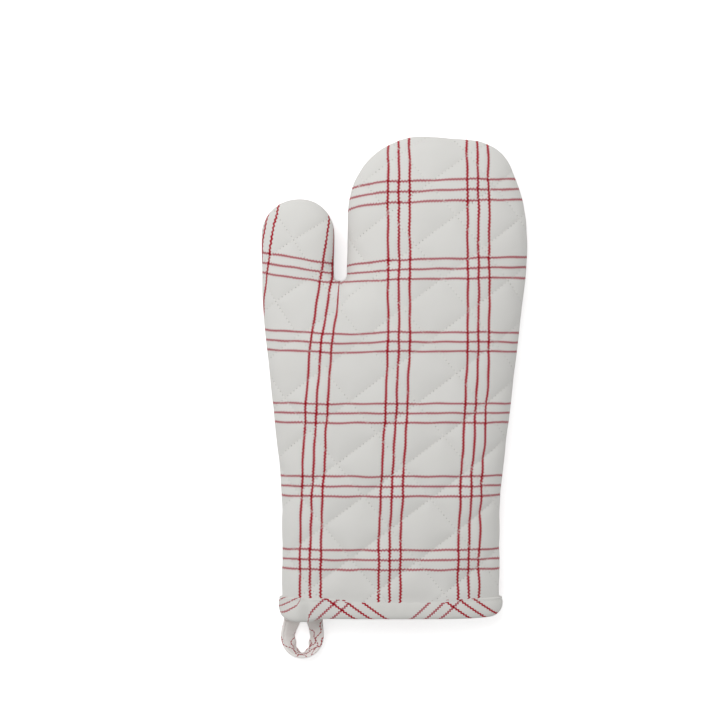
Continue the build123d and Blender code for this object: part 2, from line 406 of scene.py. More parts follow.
# Quilted fields: drawn down along the rows and puffed between them, flatter at the rim and the binding,
# then swollen by the wadding where they aren't held by stitching, and fuller towards the cuff
row_depth, valley_half, puff_height = 0.7 * mm, 3.5 * mm, 0.7 * mm
rim_share, rim_ramp, inner_ramp, binding_ramp = 0.55, 1.1 * mm, 8 * mm, 10 * mm
on_row, near_row, held_rings = 0.12 * mm, 0.5 * cloth_step, 4
swell_scale, swell_frames = 20, 25
swell_settings = {
    "quality": 6,
    "mass": 0.2,
    "bending_stiffness": 2.0,
    "shrink_min": -0.004,
    "use_pressure": True,
    "uniform_pressure_force": 4.0,
    "vertex_group_mass": "held",
}
least_fullness, added_fullness, fuller_below, fuller_length = 0.62, 0.33, 50 * mm, 120 * mm
drawn_in = rim_share * eased(edge_gap / rim_ramp) + (1 - rim_share) * eased(edge_gap / inner_ramp)
drawn_in *= eased((plan[:, 1] - bound_y) / binding_ramp)
puff = np.sqrt(np.prod(4 * row_share * (1 - row_share), axis=1))
valley = np.exp(-((row_gap / valley_half) ** 2))
front_start = front_form + front_normals * ((puff * puff_height - valley * row_depth) * drawn_in)[:, None]
held = (row_gap < on_row) | (plan[:, 1] < bound_y)
held[:strip_count] |= row_gap[:strip_count] < near_row
held[: held_rings * edge_count] = True


def swollen(points, faces, held):
    """Points of cloth held along its stitching and swollen by the wadding's pressure, from a simulation
    on a copy that is scaled up to the size its default stiffness suits."""
    mesh = bpy.data.meshes.new("swelling")
    mesh.from_pydata(points * swell_scale, [], faces)
    piece = bpy.data.objects.new("swelling", mesh)
    bpy.context.scene.collection.objects.link(piece)
    piece.vertex_groups.new(name="held").add(np.flatnonzero(held).tolist(), 1.0, "REPLACE")
    swelling = piece.modifiers.new("swelling", "CLOTH")
    for name, value in swell_settings.items():
        setattr(swelling.settings, name, value)
    swelling.settings.effector_weights.gravity = 0
    swelling.collision_settings.use_collision = False
    swelling.point_cache.frame_end = swell_frames
    for step in range(1, swell_frames + 1):
        bpy.context.scene.frame_set(step)
    made = piece.evaluated_get(bpy.context.evaluated_depsgraph_get()).data
    moved = np.empty(len(points) * 3, np.float32)
    made.vertices.foreach_get("co", moved)
    bpy.context.scene.frame_set(1)
    bpy.data.objects.remove(piece)
    bpy.data.meshes.remove(mesh)
    return moved.reshape(-1, 3).astype(float) / swell_scale


panel_faces = strip_quads.tolist() + field_triangles.tolist()
front_points = swollen(front_start, panel_faces, held)
fullness = least_fullness + added_fullness * eased((fuller_below - plan[:, 1]) / fuller_length)
front_points = front_form + (front_points - front_form) * fullness[:, None]
front_swell = ((front_points - front_form) * front_normals).sum(axis=1)


def new_piece(name, points, faces, maps=None, finer=False, closed=False):
    """Smooth mesh object from points and faces, with a UV map for each named array of places, given for the
    points or for the corners of the faces."""
    mesh = bpy.data.meshes.new(name)
    mesh.from_pydata(points, [], faces)
    corner_points = np.empty(len(mesh.loops), int)
    mesh.loops.foreach_get("vertex_index", corner_points)
    for map_name, places in (maps or {}).items():
        places = places if len(places) == len(corner_points) else places[corner_points]
        mesh.uv_layers.new(name=map_name).data.foreach_set("uv", places.astype(np.float32).ravel())
    if closed:
        shape = bmesh.new()
        shape.from_mesh(mesh)
        bmesh.ops.recalc_face_normals(shape, faces=shape.faces)
        shape.to_mesh(mesh)
        shape.free()
    piece = bpy.data.objects.new(name, mesh)
    bpy.context.scene.collection.objects.link(piece)
    if finer:
        split = piece.modifiers.new("finer", "SUBSURF")
        split.levels = split.render_levels = 1
        split.uv_smooth = "NONE"
        fine_piece = piece.evaluated_get(bpy.context.evaluated_depsgraph_get())
        fine_mesh = bpy.data.meshes.new_from_object(fine_piece)
        piece.modifiers.clear()
        piece.data = fine_mesh
        bpy.data.meshes.remove(mesh)
        fine_mesh.name = name
    piece.data.shade_smooth()
    return piece


def fitted(piece, material, stands_for, body="mitt"):
    """Gives a piece its material, hides the CAD node it stands for, and lets it ride on a body if one is
    named.
    """
    piece.data.materials.append(material)
    if body:
        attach(piece, body)
    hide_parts(stands_for)


def linear(code):
    """Linear colour, with full alpha, of an sRGB hex code."""
    share = np.array([int(code[k : k + 2], 16) for k in (1, 3, 5)]) / 255
    return (*np.where(share <= 0.04045, share / 12.92, ((share + 0.055) / 1.055) ** 2.4), 1.0)


def plug(socket, value):
    """Puts a value, another socket or a node's first live output into a socket."""
    if isinstance(value, bpy.types.Node):
        value = next(output for output in value.outputs if output.enabled)
    if isinstance(value, bpy.types.NodeSocket):
        socket.id_data.links.new(value, socket)
    else:
        socket.default_value = value


def node(tree, kind, *inputs, **settings):
    """Shader node of a kind, or of a math operation named in capitals. Inputs are values, sockets or nodes,
    in order or as one dict by name."""
    if kind.isupper():
        kind, settings = "Math", {"operation": kind}
    made = tree.nodes.new("ShaderNode" + kind)
    for name, value in settings.items():
        setattr(made, name, value)
    named = inputs[0] if inputs and isinstance(inputs[0], dict) else dict(enumerate(inputs))
    for name, value in named.items():
        plug(made.inputs[name], value)
    return made


def new_material(name, constants):
    """Node material whose principled shader has its constants set. Gives material, node maker and sockets."""
    material = bpy.data.materials.new(name)
    material.use_nodes = True
    sockets = material.node_tree.nodes["Principled BSDF"].inputs
    for socket, value in constants.items():
        plug(sockets[socket], value)
    return material, partial(node, material.node_tree), sockets


# Plain-woven cotton, yarn-dyed: matt, with a soft sheen at a slant. Warp lines are dense red with toothed
# edges, weft lines are thinner and broken by white yarn, and both are darkest where they cross. Where it
# is quilted, small dark dots of painted shade mark the needle holes, and a sharp crease runs along each row.
# The teeth, really about 1.3 mm long, and the repeat of the weave, really about 0.7 mm, are drawn coarser so
# that they show.
cotton_finish = {"Roughness": 0.92, "Specular IOR Level": 0.15, "Sheen Weight": 0.1, "Sheen Roughness": 0.5}
warp_lines = {"origin": 2.25 * mm, "pitch": 52.0 * mm, "gap": 7.09 * mm, "half": 0.64 * mm}
weft_lines = {"origin": 37.5 * mm, "pitch": 48.8 * mm, "gap": 6.5 * mm, "half": 0.54 * mm}
weft_red, warp_red, crossing_red = "#a22a3c", "#a31428", "#86040e"
weft_strengths = (0.75, 1.0)
tooth_length, tooth_depth, line_softness = 2.05 * mm, 0.95 * mm, 0.25 * mm
weave_repeat, weave_height, blotch_size = 0.85 * mm, 0.05 * mm, 25 * mm
stitches_a_side = (12, 10)
# Needle holes: radius, grey of the painted shade in them, and size of the patches over which its strength
# varies
hole_radius, hole_shade_grey, hole_patch = 0.42 * mm, "#6f6b64", 5 * mm
hole_noise, hole_shade_strengths = (0.35, 0.65), (0.1, 0.8)
crease_half, crease_depth = 1.6 * mm, 0.15 * mm
mix_share, mix_under, mix_over = 0, 6, 7


def line_mask(make, position, other, share, origin, pitch, gap, half):
    """1 on the three lines of each repeat and 0 between them: the distance to the nearest line is
    min(|t|, ||t| - gap|), where t is the position, made to zigzag and wrapped to half a pitch each way."""
    tooth = make("PINGPONG", other, tooth_length / 2)
    zigzag = make("MULTIPLY_ADD", tooth, 2 * tooth_depth / tooth_length, position)
    centred = make("SUBTRACT", zigzag, origin + tooth_depth / 2)
    middle = make("ABSOLUTE", make("WRAP", centred, pitch / 2, -pitch / 2))
    outer = make("ABSOLUTE", make("SUBTRACT", middle, gap))
    limits = (half * share, half * share + line_softness, 1.0, 0.0)
    return make("MapRange", make("MINIMUM", middle, outer), *limits, interpolation_type="SMOOTHSTEP")


def check_colour(make, across, along, ground, share):
    """Ground colour with the check over it: broken weft lines, then warp lines, then their crossings."""
    warp = line_mask(make, across, along, share, **warp_lines)
    weft = line_mask(make, along, across, share, **weft_lines)
    dash = make("PINGPONG", make("ADD", across, along), tooth_length / 2)
    strength = make("MapRange", dash, 0.0, tooth_length / 2, *weft_strengths)
    broken, crossing = make("MULTIPLY", weft, strength), make("MULTIPLY", warp, weft)
    colour = ground
    for mask, red in ((broken, weft_red), (warp, warp_red), (crossing, crossing_red)):
        layers = {mix_share: mask, mix_under: colour, mix_over: linear(red)}
        colour = make("Mix", layers, data_type="RGBA")
    return colour


def row_distance(make, places, way):
    """Distance from the nearest rising or falling row, and from the nearest needle hole on it."""
    side = row_spacings[1 - way] / sin(row_angles[0] - row_angles[1])
    half_stitch = 0.5 / stitches_a_side[way]
    off_row = make("MULTIPLY", make("WRAP", places[way], 0.5, -0.5), row_spacings[way])
    past_hole = make("WRAP", places[1 - way], half_stitch, -half_stitch)
    both = make("CombineXYZ", off_row, make("MULTIPLY", past_hole, side))
    length = make("VectorMath", both, operation="LENGTH")
    return make("ABSOLUTE", off_row), length.outputs["Value"]


def quilt_marks(make, place, ground):
    """Ground colour with painted shade of uneven strength in the needle holes, and height of the crease along
    the rows, read from the UV map "quilt"."""
    places = make("SeparateXYZ", make("UVMap", uv_map="quilt")).outputs
    gaps, hole_gaps = zip(*(row_distance(make, places, way) for way in (0, 1)))
    inside = make("MapRange", make("MINIMUM", *hole_gaps), hole_radius / 2, hole_radius, 1.0, 0.0)
    uneven = make("TexNoise", {"Vector": place, "Scale": 1 / hole_patch, "Detail": 1.0})
    strength = make("MapRange", uneven, *hole_noise, *hole_shade_strengths)
    # Painted shade in the needle holes, darker at some holes than at others
    hole_shade = make("MULTIPLY", inside, strength)
    layers = {mix_share: hole_shade, mix_under: ground, mix_over: linear(hole_shade_grey)}
    colour = make("Mix", layers, data_type="RGBA")
    limits = (0.0, crease_half, -crease_depth, 0.0)
    return colour, make("MapRange", make("MINIMUM", *gaps), *limits, interpolation_type="SMOOTHERSTEP")


def woven_cotton(name, ground_codes, checked=True, quilted=False, line_share=1):
    """Cotton read from the UV map "cloth", in metres of straight cloth, with or without check and quilt."""
    material, make, sockets = new_material(name, cotton_finish)
    place = make("UVMap", uv_map="cloth")
    across, along, _ = make("SeparateXYZ", place).outputs
    blotch = make("TexNoise", {"Vector": place, "Scale": 1 / blotch_size, "Detail": 3.0})
    under, over = (linear(code) for code in ground_codes)
    colour = make("Mix", {mix_share: blotch, mix_under: under, mix_over: over}, data_type="RGBA")
    if checked:
        colour = check_colour(make, across, along, colour, line_share)
    waves = [make("SINE", make("MULTIPLY", way, 2 * pi / weave_repeat)) for way in (across, along)]
    height = make("MULTIPLY", make("MULTIPLY", *waves), weave_height)
    if quilted:
        colour, crease = quilt_marks(make, place, colour)
        height = make("ADD", height, crease)
    plug(sockets["Base Color"], colour)
    plug(sockets["Normal"], make("Bump", {"Height": height, "Strength": 0.8, "Distance": 1.0}))
    return material


panel_maps = {"cloth": woven_place(cloth), "quilt": rows}
front_panel = new_piece("front_outer_cotton", front_points, panel_faces, panel_maps, finer=True)
panel_cotton = woven_cotton("checked cotton", ("#d5d4d0", "#dcdbd8"), quilted=True)
fitted(front_panel, panel_cotton, "front_outer_panel")

# Back outer panel
# The palm side, cut from the same cloth and quilted alike. The mitt lies on it, so its fields are pressed
# flat by the table, and it is raised a little by the binding at the cuff.
back_room, flattening = 13 * mm, 6
back_swell_share = 0.7
back_cut = np.array((-12, 23)) * mm
cuff_raise, raise_start, raise_length = 1.65 * mm, bound_y + 12 * mm, 10 * mm
back_height = front_height / (1 + (front_height / back_room) ** flattening) ** (1 / flattening)
back_form = rounded_half(back_height, -1)
back_normals = surface_normals(back_form, all_triangles[:, ::-1])
back_points = back_form + back_normals * (front_swell * back_swell_share)[:, None]
table = cuff_raise * eased((raise_start - plan[:, 1]) / raise_length)
back_points[:, 2] = np.maximum(back_points[:, 2], table)
back_faces = strip_quads[:, ::-1].tolist() + field_triangles[:, ::-1].tolist()
back_maps = {"cloth": woven_place(cloth) + back_cut, "quilt": rows}
back_panel = new_piece("back_outer_cotton", back_points, back_faces, back_maps, finer=True)
fitted(back_panel, panel_cotton, "back_outer_panel")

# Front and back wadding
# Needled cotton between the outer cloth and the lining. It is caught in the quilting and ends at the seam
# and at the cuff edge, where the binding covers it.
outer_cloth, wadding_depth, lining_swell_share = 0.7 * mm, 6.2 * mm, 0.35
fibre_patch, fibre_height, edge_tolerance = 1.5 * mm, 0.4 * mm, 0.01 * mm
halves = (
    ("front", 1, front_points, front_form, front_normals),
    ("back", -1, back_points, back_form, back_normals),
)
ring_starts = np.arange(len(rim_rings)) * edge_count
cuff_line = np.flatnonzero((plan[:, 1] < cuff_y + edge_tolerance) & (edge_gap > rim_rings[-1]))
cuff_line = cuff_line[plan[cuff_line, 0].argsort()]
cuff_row = np.concatenate((ring_starts, cuff_line, ring_starts[::-1] + edge_count - 1))
boundary = np.concatenate((np.arange(edge_count - 1), cuff_row[:0:-1]))


def wadding_shell(name, outer, inner):
    """Closed layer between two surfaces over the same net, joined round the boundary."""
    count = len(outer)
    after = np.roll(boundary, -1)
    faces = np.stack((boundary, after, after + count, boundary + count), axis=1).tolist()
    for first in (0, count):
        faces += (strip_quads + first).tolist() + (field_triangles + first).tolist()
    return new_piece(name, np.concatenate((outer, inner)), faces, closed=True)


# Needled cotton: matt, off-white, felted from short fibres
felt_finish = {"Base Color": linear("#dcd9d2"), "Roughness": 1.0}
felt, felt_node, felt_sockets = new_material("needled cotton", felt_finish)
felt_place = felt_node("TexCoord").outputs["Object"]
fibres = felt_node("TexNoise", {"Vector": felt_place, "Scale": 1 / fibre_patch, "Detail": 6.0})
fibre_bump = felt_node("Bump", {"Height": fibres, "Strength": 0.5, "Distance": fibre_height})
plug(felt_sockets["Normal"], fibre_bump)

inner_depth = (wadding_depth + lining_swell_share * front_swell)[:, None]
for half, _, points, form, normals in halves:
    outer, inner = points - normals * outer_cloth, form - normals * inner_depth
    padding = wadding_shell(f"{half}_wadding_felt", outer, inner)
    fitted(padding, felt, f"{half}_wadding")

# Front and back lining
# Plain cotton next to the hand, quilted with the rest. Its edges turn into the hand space as the seam
# allowance, and the binding holds it at the cuff.
lining_gap, allowance_depth, allowance_half = 0.4 * mm, 10.9 * mm, 0.35 * mm
lining_cotton = woven_cotton("plain cotton", ("#d9d6ce", "#e0ddd6"), checked=False)
allowance_edge = edge_path + edge_inward * allowance_depth
edge_step = np.arange(edge_count - 1)
turned = np.stack((edge_step, edge_step + 1, len(plan) + edge_step + 1, len(plan) + edge_step), axis=1)
for half, side, _, form, normals in halves:
    body = form - normals * (inner_depth + lining_gap)
    flange = np.column_stack((allowance_edge, np.full(edge_count, seam_height + side * allowance_half)))
    quads = np.concatenate((strip_quads, turned))
    lining_faces = quads[:, ::-side].tolist() + field_triangles[:, ::-side].tolist()
    lining_maps = {"cloth": np.concatenate((cloth, allowance_edge))}
    lining = new_piece(f"{half}_lining_cotton", np.concatenate((body, flange)), lining_faces, lining_maps)
    fitted(lining, lining_cotton, f"{half}_lining")

# Overlock thread
# White thread looped round the raw edges of the seam allowance inside the hand space, from the cuff
# binding round thumb and fingers and back.
overlock_depth, overlock_half_width, overlock_half_height = 9.8 * mm, 1.5 * mm, 0.95 * mm
overlock_pitch, overlock_points, overlock_radius = 2.4 * mm, 10, 0.3 * mm
overlock_start = bound_y + 4 * mm
# Spun cotton thread: near white and matt, with a faint sheen
thread_finish = {"Base Color": linear("#e2e0db"), "Roughness": 0.8, "Sheen Weight": 0.2}
thread, _, _ = new_material("sewing thread", thread_finish)


def at_run(distances, run, rows, period=None):
    """Rows of an array that goes with a path, read off at distances along the path."""
    return np.stack([np.interp(distances, run, column, period=period) for column in rows.T], axis=1)


def thread_tube(line, radius, sides=5):
    """Points and faces of a tube along a line: each ring stands across the line's direction."""
    along = unit(np.gradient(line, axis=0))
    up = np.gradient(along, axis=0)
    up = unit(up - along * (up * along).sum(axis=1, keepdims=True))
    across = np.cross(along, up)
    angle = 2 * pi * np.arange(sides) / sides
    circle = up[:, None] * np.cos(angle)[None, :, None] + across[:, None] * np.sin(angle)[None, :, None]
    ring, side = grid_corners(len(line) - 1, sides)
    return (line[:, None] + radius * circle).reshape(-1, 3), (ring * sides + side % sides).tolist()


raw_edge = edge_path + edge_inward * overlock_depth
overlocked = raw_edge[:, 1] > overlock_start
raw_run = run_along(raw_edge[overlocked])
loop_count = int(raw_run[-1] / overlock_pitch)
thread_run = np.linspace(0, raw_run[-1], loop_count * overlock_points)
thread_middle = at_run(thread_run, raw_run, raw_edge[overlocked])
thread_inward = at_run(thread_run, raw_run, edge_inward[overlocked])
thread_angle = 2 * pi * np.arange(len(thread_run)) / overlock_points
thread_plan = thread_middle + thread_inward * (overlock_half_width * np.cos(thread_angle))[:, None]
looped = np.column_stack((thread_plan, seam_height + overlock_half_height * np.sin(thread_angle)))
overlock = new_piece("seam_overlock_thread", *thread_tube(looped, overlock_radius))
fitted(overlock, thread, "seam_overlock")

# Quilting stitches, front and back
# White lockstitch through all the layers: short stitches in straight rows, each sinking into the cloth at
# both ends where the needle went through.
stitch_share, stitch_radius, stitch_lift = 0.72, 0.17 * mm, 0.06 * mm
seam_margin, longest_stitch, ray_height = 1.5 * mm, 4 * mm, 100 * mm
rod_sides = 6
rod_places = np.array((0, 0.12, 0.5, 0.88, 1))
rod_swell = np.array((0.3, 0.85, 1, 0.85, 0.3))
rod_arch = np.array((-1.1, -0.5, 0, -0.5, -1.1))


def stitch_rods(rows, radius):
    """Points and faces of short round-ended rods, from rows of starts, ends and outward vectors. Each point
    is start + (end - start) * place plus a ring of the radius times the swell, and the ends lie lower than
    the middle by the radius times the arch."""
    starts, ends, outward = (np.concatenate(parts)[:, None] for parts in zip(*rows))
    along = ends - starts
    across = unit(np.cross(outward, along))
    angle = 2 * pi / rod_sides * np.arange(rod_sides)[:, None]
    circle = across * np.cos(angle) + outward * np.sin(angle)
    line = starts + along * rod_places[:, None] + outward * (rod_arch * radius)[:, None]
    points = line[:, :, None] + circle[:, None] * (rod_swell * radius)[:, None, None]
    ring, side = grid_corners(len(rod_places) - 1, rod_sides)
    rod_points = len(rod_places) * rod_sides
    first = rod_points * np.arange(len(starts))[:, None, None]
    sides = (first + ring * rod_sides + side % rod_sides).reshape(-1, 4)
    caps = np.stack((np.arange(rod_sides)[::-1], np.arange(rod_points - rod_sides, rod_points)))
    return points.reshape(-1, 3), sides.tolist() + (first + caps).reshape(-1, rod_sides).tolist()


def stitch_plan(share):
    """Points of the mitt at a share of the way along every quilting stitch, first along the rising rows and
    then along the falling ones, and whether each lies on the cloth."""
    places = []
    for stitches, order in zip(stitches_a_side, (1, -1)):
        steps = np.arange(first_row * stitches, row_end * stitches)
        row, step = np.meshgrid(np.arange(first_row, row_end), steps, indexing="ij")
        pair = (row.ravel(), (step.ravel() + share) / stitches)
        places.append(np.stack(pair[::order], axis=1))
    return quilt_plan(np.concatenate(places))


def cast(surface, plan, way):
    """Points and normals where rays straight up or down through points of the plan meet a surface."""
    hits = [surface.ray_cast((*p, -way * ray_height), (0, 0, way)) for p in plan]
    found = np.array([hit[0] is not None for hit in hits])
    places = np.array([hit[0] if hit[0] is not None else (0, 0, 0) for hit in hits])
    normals = np.array([hit[1] if hit[0] is not None else (0, 0, 1) for hit in hits])
    return places, normals, found


start_plan, start_inside = stitch_plan(0.5 - stitch_share / 2)
end_plan, end_inside = stitch_plan(0.5 + stitch_share / 2)
stitch_gap, _ = nearest_edge((start_plan + end_plan) / 2, edge_path)
shown = start_inside & end_inside & (stitch_gap > seam_margin)
shown &= np.minimum(start_plan[:, 1], end_plan[:, 1]) > bound_y
for half, panel, way in (("front", front_panel, -1), ("back", back_panel, 1)):
    surface = BVHTree.FromObject(panel, bpy.context.evaluated_depsgraph_get())
    starts, start_normals, start_found = cast(surface, start_plan[shown], way)
    ends, end_normals, end_found = cast(surface, end_plan[shown], way)
    outward = unit(start_normals + end_normals)
    kept = start_found & end_found & (np.linalg.norm(ends - starts, axis=1) < longest_stitch)
    lift = outward[kept] * stitch_lift
    rods = stitch_rods([(starts[kept] + lift, ends[kept] + lift, outward[kept])], stitch_radius)
    stitches = new_piece(f"{half}_quilting_stitches", *rods)
    fitted(stitches, thread, f"{half}_quilting_thread")

# Cuff binding
# A bias strip of the same cloth, folded over the raw edges of all the layers at the cuff and sewn through.
# Its ends meet at the hanging loop, where it bulges over the roots of the strap.
ring_count, ring_smoothing = 160, 8
upper_start, upper_length = 0.2, 0.5
cuff_ring = np.concatenate((front_points[cuff_row], back_points[cuff_row[-2:0:-1]]))[:, [0, 2]]
cuff_ring = np.concatenate((cuff_ring, cuff_ring[:1]))
cuff_run = run_along(cuff_ring)
girth = cuff_run[-1]
ring_run = girth * np.arange(ring_count) / ring_count
cuff_ring = at_run(ring_run, cuff_run, cuff_ring)
for _ in range(ring_smoothing):
    cuff_ring = (np.roll(cuff_ring, 1, axis=0) + 2 * cuff_ring + np.roll(cuff_ring, -1, axis=0)) / 4
ring_x = cuff_ring[:, 0]
cuff_ring[:, 0] = np.interp(ring_x, (ring_x.min(), ring_x.max()), binding_sides)
ring_along = np.roll(cuff_ring, -1, axis=0) - np.roll(cuff_ring, 1, axis=0)
ring_out = unit(np.stack((-ring_along[:, 1], ring_along[:, 0]), axis=1))
upper_face = eased((ring_out[:, 1:] - upper_start) / upper_length)

# Section of the binding: how far out of the panel's face, and how far down from its upper edge, in mm
section_outside = [(-1.2, 0.5), (0.2, 0.0), (1.0, 0.4), (1.2, 1.4), (0.8, 2.3), (1.2, 3.2), (1.5, 5.4)]
section_edge = [(1.5, 8.6), (1.2, 11.8), (0.2, 13.5), (-1.8, 14.2), (-4.6, 14.2), (-6.6, 13.5), (-7.6, 11.8)]
section_inside = [(-7.9, 8.6), (-7.8, 5.4), (-7.5, 3.2), (-7.2, 2.3), (-7.5, 1.5), (-7.3, 0.8)]
binding_section = np.array(section_outside + section_edge + section_inside) * mm
section_out, section_down = binding_section.T
section_run = run_along(binding_section)

# Puckers along the stitching, a bulge over the strap and a fold where the tail end is tucked under
pucker_length, pucker_height, pucker_down, pucker_half = 9.3 * mm, 0.18 * mm, 5 * mm, 5 * mm
pucker_drift, drift_length = 1.3, 41 * mm
bulge_middle, bulge_half, bulge_drop = -62.5 * mm, 10 * mm, 2.4 * mm
bulge_down, bulge_ramp, bulge_inside = 6 * mm, 6 * mm, -6 * mm
fold_x, fold_down, fold_slope = -58 * mm, 1 * mm, 0.62
fold_height, fold_width, fold_fade = 1.3 * mm, 2.2 * mm, 26 * mm
drift = pucker_drift * np.sin(2 * pi * ring_run / drift_length)
ripple = pucker_height * np.sin(2 * pi * ring_run / pucker_length + drift)
on_face = np.exp(-(((section_down - pucker_down) / pucker_half) ** 2))
bulge = bulge_drop * np.exp(-(((cuff_ring[:, :1] - bulge_middle) / bulge_half) ** 4)) * upper_face
past_fold = cuff_ring[:, :1] - fold_x + (section_down - fold_down) / fold_slope
fold = eased(past_fold / fold_width) * eased(1 - past_fold / fold_fade) * (section_out > 0) * upper_face
bulged = eased((section_down - bulge_down) / bulge_ramp) * (section_out > bulge_inside)
binding_out = section_out + ripple[:, None] * on_face + fold_height * fold
binding_down = section_down + bulge * bulged
binding_x, binding_z = (cuff_ring[:, k : k + 1] + ring_out[:, k : k + 1] * binding_out for k in (0, 1))
binding_y = bound_y - binding_down + cuff_lift(cuff_ring[:, :1], bound_y - binding_down)
binding_points = np.stack((binding_x, binding_y, binding_z), axis=-1).reshape(-1, 3)
ring, step = grid_corners(ring_count, len(binding_section) - 1)
binding_faces = ring % ring_count * len(binding_section) + step

# Bias: the warp falls to the right across the strip and the weft rises, through the measured crossings, and
# the tail end is cut from further along
falling_x, rising_x, crossing_down, warp_lean = -27.2 * mm, -42.7 * mm, 8.1 * mm, 1.3
tail_x, tail_width, tail_tuck, tail_lean = -64 * mm, 8 * mm, 25.9 * mm, 0.9
front_ring = slice(ring_count // 2)
falling_run, rising_run = np.interp((falling_x, rising_x), cuff_ring[front_ring, 0], ring_run[front_ring])
along_strip = (ring * (girth / ring_count)).ravel()
across_strip = section_run[step].ravel() - crossing_down
corner_x = cuff_ring[ring.ravel() % ring_count, 0]
tail = eased((tail_x + tail_width - corner_x) / tail_width) * (ring.ravel() < ring_count // 2)
fall = (along_strip - falling_run - warp_lean * across_strip) / 2**0.5
rise = (along_strip - rising_run + across_strip * (1 + tail_lean * tail)) / 2**0.5 - tail_tuck * tail
bias = np.stack((fall + warp_lines["origin"], rise + weft_lines["origin"]), axis=1)
binding = new_piece("cuff_binding_strip", binding_points, binding_faces.tolist(), {"cloth": bias}, finer=True)
bias_cotton = woven_cotton("bias-cut checked cotton", ("#d3d2ce", "#dad9d5"))
fitted(binding, bias_cotton, "cuff_binding")

# Binding stitch
# One row of white lockstitch close to the folded edges, on the outside and on the inside of the cuff.
binding_pitch, binding_stitch_shares = 2.8 * mm, (0.1, 0.9)
stitch_y = bound_y - 2.3 * mm
outside_out, inside_out = 0.95 * mm, -7.3 * mm
ring_columns = np.hstack((cuff_ring, ring_out))
stitch_run = np.arange(int(girth / binding_pitch)) * binding_pitch
stitch_columns = [
    at_run(stitch_run + share * binding_pitch, ring_run, ring_columns, period=girth).T
    for share in binding_stitch_shares
]
binding_rows = []
for out_of_face, face in ((outside_out, 1), (inside_out, -1)):
    pair = [
        np.column_stack((x + out_x * out_of_face, stitch_y + cuff_lift(x, stitch_y), z + out_z * out_of_face))
        for x, z, out_x, out_z in stitch_columns
    ]
    _, _, out_x, out_z = stitch_columns[0]
    binding_rows.append((*pair, face * np.column_stack((out_x, np.zeros_like(out_x), out_z))))
binding_stitches = new_piece("binding_stitches", *stitch_rods(binding_rows, stitch_radius))
fitted(binding_stitches, thread, "binding_stitch")

# Hanging loop
# A strap folded from the same bias strip and sewn shut. Its ends are tacked to the cuff edge under the
# binding's bulge, its legs lie flat and its bight stands on edge, leaning out.
strap_width, strap_thickness = 10 * mm, 2.6 * mm
loop_middle = np.array((-61.6, -158.5)) * mm
loop_half_width, loop_drop, root_pull = 10.1 * mm, 13.6 * mm, np.array((2.8, 1.5)) * mm
leg_tilt, bight_tilt, tilt_start = radians(36), radians(84), 0.375
floor_gap, wall_gap, wall_top, wall_turn = 0.3 * mm, 0.2 * mm, 9 * mm, 2.6 * mm
ruffle_width, ruffle_height, ruffle_length, ruffle_share = 1.1 * mm, 0.85 * mm, 8.5 * mm, 0.3
ruffle_start, ruffle_ramp = -148 * mm, 6 * mm
wall_y = binding_end - wall_gap - strap_thickness / 2
root_z = floor_gap + strap_thickness / 2

# Middle line of the strap: down the cuff edge, round onto the table, along it, and round the bight
leg_steps, bend_steps, bight_steps = 5, 6, 40
leg = np.linspace(0, 1, leg_steps, endpoint=False)
quarter = np.linspace(0, pi / 2, bend_steps, endpoint=False)
bend_y, bend_z = wall_y - wall_turn, root_z + wall_turn
wall_points = np.column_stack((np.full_like(leg, wall_y), wall_top + (bend_z - wall_top) * leg))
bend_points = np.column_stack((bend_y + wall_turn * np.cos(quarter), bend_z - wall_turn * np.sin(quarter)))
flat_points = np.column_stack((bend_y + (loop_middle[1] - bend_y) * leg, np.full_like(leg, root_z)))
leg_line = np.concatenate((wall_points, bend_points, flat_points))
pull = 1 - eased((wall_y - leg_line[:, 0]) / (wall_y - loop_middle[1]))
left_leg, right_leg = (
    np.column_stack((loop_middle[0] + side * (loop_half_width - reach * pull), leg_line))
    for side, reach in zip((-1, 1), root_pull)
)
turn = np.linspace(pi, 2 * pi, bight_steps + 1)
bight_plan = loop_middle + np.column_stack((loop_half_width * np.cos(turn), loop_drop * np.sin(turn)))
bight = np.column_stack((bight_plan, np.full_like(turn, root_z)))
strap_line = np.concatenate((left_leg, bight, right_leg[::-1]))

# The strap's width lies across its line, level at the roots and tilted up towards the bight
leg_count = len(leg_line)
leg_tilts = leg_tilt * eased((np.linspace(0, 1, leg_count) - tilt_start) / (1 - tilt_start))
bight_tilts = leg_tilt + (bight_tilt - leg_tilt) * np.sin(turn) ** 2
strap_tilt = np.concatenate((leg_tilts, bight_tilts, leg_tilts[::-1]))[:, None]
inner_half = strap_width / 2 + ruffle_width + ruffle_share * ruffle_height
strap_line[:, 2:] += inner_half * np.sin(strap_tilt) - strap_thickness / 2 * (1 - np.cos(strap_tilt))
strap_along = unit(np.gradient(strap_line, axis=0))
bight_out = np.column_stack((np.cos(turn) / loop_half_width, np.sin(turn) / loop_drop, np.zeros_like(turn)))
level_out = unit(np.pad(bight_out, ((leg_count, leg_count), (0, 0)), mode="edge"))
strap_across = level_out * np.cos(strap_tilt) + np.array((0, 0, 1)) * np.sin(strap_tilt)
strap_across = unit(strap_across - strap_along * (strap_across * strap_along).sum(axis=1, keepdims=True))
strap_face = np.cross(strap_along, strap_across)

